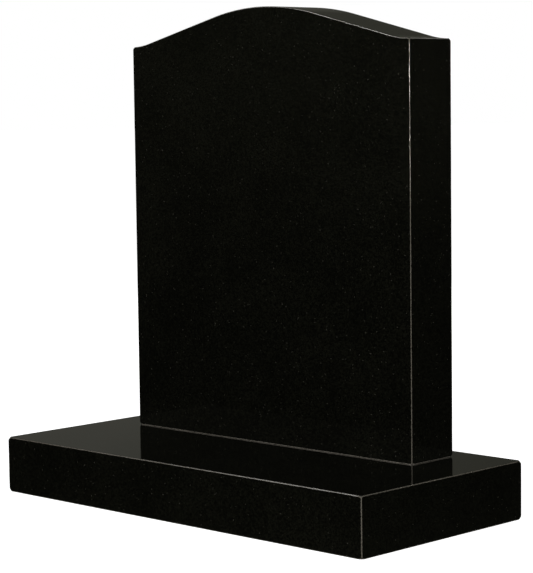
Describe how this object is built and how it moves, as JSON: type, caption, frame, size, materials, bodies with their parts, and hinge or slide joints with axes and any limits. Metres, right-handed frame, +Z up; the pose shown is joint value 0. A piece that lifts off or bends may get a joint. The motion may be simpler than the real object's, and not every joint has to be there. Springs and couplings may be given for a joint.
{
  "type": "headstone",
  "caption": "Polished black granite headstone: a blank upright tablet with an ogee top, standing on a rectangular base.",
  "frame": {"origin": "middle of the base's underside", "axes": "+Z up; the polished front of the tablet faces -Y; +X is to the right as the front is read"},
  "size_m": [0.686, 0.324, 0.6929],
  "materials": {
    "tablet_granite": "mirror-polished black granite with fine grey-green crystals, faces polished and arrises eased by hand",
    "base_granite": "mirror-polished black granite with fine grey-green crystals, faces polished, arrises eased by hand, underside sawn"
  },
  "bodies": {
    "root": {"tablet": "tablet_granite", "base": "base_granite"}
  },
  "joints": []
}
